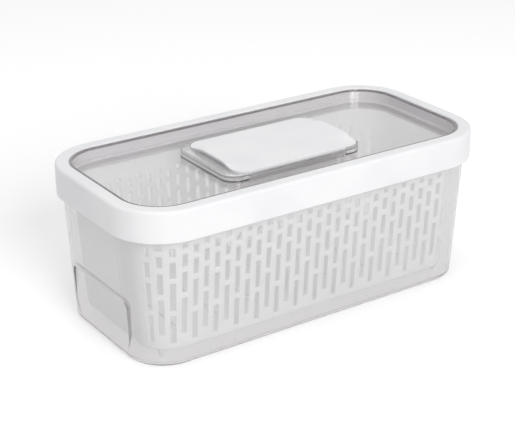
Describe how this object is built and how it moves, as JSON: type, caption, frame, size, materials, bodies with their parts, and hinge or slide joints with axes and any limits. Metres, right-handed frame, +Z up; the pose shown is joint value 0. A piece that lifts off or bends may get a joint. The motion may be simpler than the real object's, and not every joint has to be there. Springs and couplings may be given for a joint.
{
  "type": "produce keeper",
  "caption": "Clear lidded food container with a slotted inner basket that stands on feet, and a lid with a window, a sliding air vent and a filter under it.",
  "frame": {"origin": "middle of the base, on the surface it stands on", "axes": "+X along the length, towards the end without the grip recess; +Y across the width; +Z up"},
  "size_m": [0.34, 0.164, 0.134],
  "materials": {
    "clear_shell": "clear, polished",
    "clear_panel": "clear with a slight grey tint, polished",
    "white_moulding": "white, satin moulded",
    "filter_fleece": "grey needled fleece sachet"
  },
  "bodies": {
    "container": {"container": "clear_shell", "basket": "white_moulding"},
    "lid": {"lid_frame": "white_moulding", "lid_window": "clear_panel", "vent_housing": "clear_panel", "filter_holder": "clear_panel", "filter_pad": "filter_fleece"},
    "vent_slider": {"vent_cover": "white_moulding", "vent_shutter": "white_moulding"}
  },
  "joints": [
    {"name": "lid_lift", "type": "slide", "parent": "container", "child": "lid", "axis": [0, 0, 1], "range_m": [0, 0.14]},
    {"name": "vent_slide", "type": "slide", "parent": "lid", "child": "vent_slider", "axis": [-1, 0, 0], "range_m": [0, 0.008]}
  ]
}
